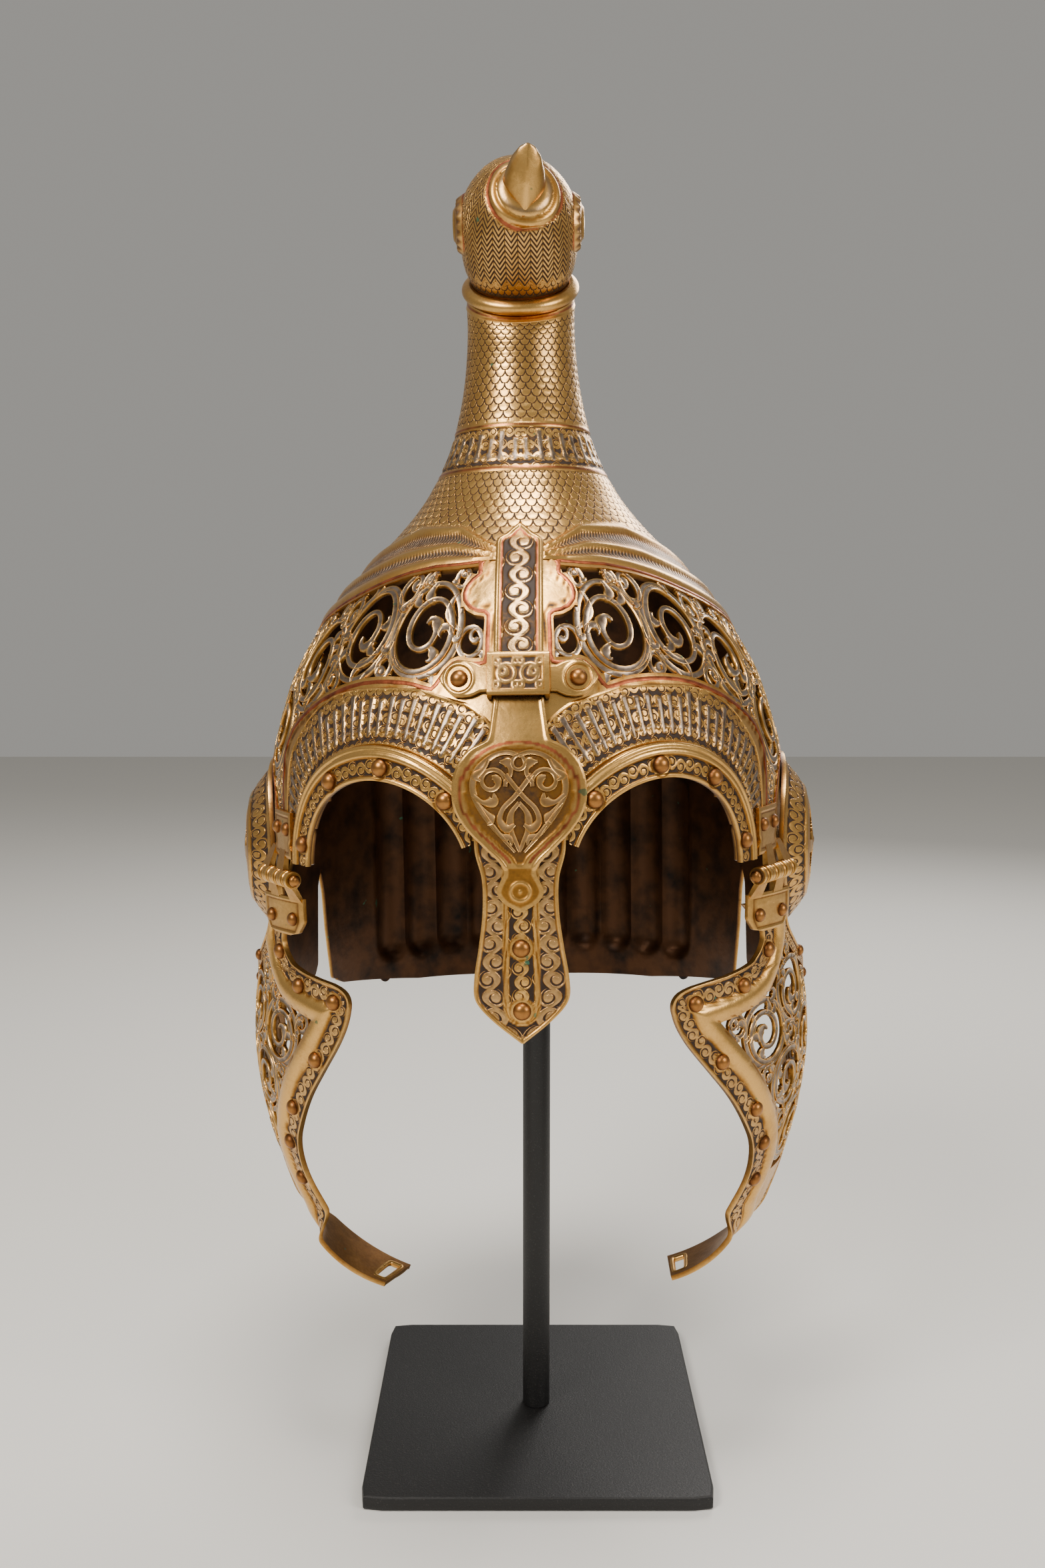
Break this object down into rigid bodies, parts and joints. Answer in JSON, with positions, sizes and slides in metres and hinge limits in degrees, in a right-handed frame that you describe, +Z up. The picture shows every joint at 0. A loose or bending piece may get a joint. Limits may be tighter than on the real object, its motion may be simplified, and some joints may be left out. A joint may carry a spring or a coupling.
{
  "type": "brass helmet on display stand",
  "caption": "Pierced and inlaid brass helmet with a bird's head finial, eye arches, sliding nasal, ear roundels and hinged cheek-pieces, on a plain square-footed stand.",
  "frame": {"origin": "centre of the underside of the stand's foot", "axes": "+Z up the stand, the face of the helmet toward -Y, the wearer's left cheek-piece toward +X"},
  "size_m": [0.255, 0.2521, 0.5667],
  "materials": {
    "brass": "old golden brass, dark in the recesses",
    "copper_brown_brass": "copper-brown, worn bright on top",
    "black_steel": "matt black",
    "pad": "matt black, dense foam or turned wood"
  },
  "bodies": {
    "helmet_on_stand": {"stand_foot": "black_steel", "stand_rod": "black_steel", "stand_pad": "pad", "bowl": "brass", "bird_neck": "brass", "collar_ring": "brass", "bird_head": "brass", "nasal_plate": "brass", "slide_keeper": "brass", "nasal_rivet_1": "copper_brown_brass", "nasal_rivet_2": "copper_brown_brass", "brow_rim_right": "brass", "brow_rim_left": "brass", "ear_cup_right": "brass", "ear_cup_left": "brass", "hinge_upper_leaf_right": "brass", "hinge_upper_leaf_left": "brass", "hinge_pin_right": "copper_brown_brass", "hinge_pin_left": "copper_brown_brass", "brow_rivet_1_right": "copper_brown_brass", "brow_rivet_1_left": "copper_brown_brass", "brow_rivet_2_right": "copper_brown_brass", "brow_rivet_2_left": "copper_brown_brass", "brow_rivet_3_right": "copper_brown_brass", "brow_rivet_3_left": "copper_brown_brass", "brow_rivet_4_right": "copper_brown_brass", "brow_rivet_4_left": "copper_brown_brass", "keeper_rivet_right": "copper_brown_brass", "keeper_rivet_left": "copper_brown_brass", "hinge_rivet_upper_1_right": "copper_brown_brass", "hinge_rivet_upper_1_left": "copper_brown_brass", "hinge_rivet_upper_2_right": "copper_brown_brass", "hinge_rivet_upper_2_left": "copper_brown_brass"},
    "cheek_right": {"cheek_piece_right": "brass", "hinge_lower_leaf_right": "brass", "hinge_rivet_lower_1_right": "copper_brown_brass", "hinge_rivet_lower_2_right": "copper_brown_brass"},
    "cheek_left": {"cheek_piece_left": "brass", "hinge_lower_leaf_left": "brass", "hinge_rivet_lower_1_left": "copper_brown_brass", "hinge_rivet_lower_2_left": "copper_brown_brass"},
    "nasal": {"nasal_slide": "brass"}
  },
  "joints": [
    {"name": "cheek_hinge_right", "type": "hinge", "parent": "helmet_on_stand", "child": "cheek_right", "pos_m": [0.09699, -0.06066, 0.26992], "axis": [-0.5948, -0.8039, -0.0083], "range_deg": [0, 105]},
    {"name": "cheek_hinge_left", "type": "hinge", "parent": "helmet_on_stand", "child": "cheek_left", "pos_m": [-0.10792, -0.0553, 0.26706], "axis": [-0.5519, 0.8339, -0.0077], "range_deg": [0, 105]},
    {"name": "nasal_slide_joint", "type": "slide", "parent": "helmet_on_stand", "child": "nasal", "axis": [-0.014, 0, 0.9999], "range_m": [0, 0.004]}
  ]
}
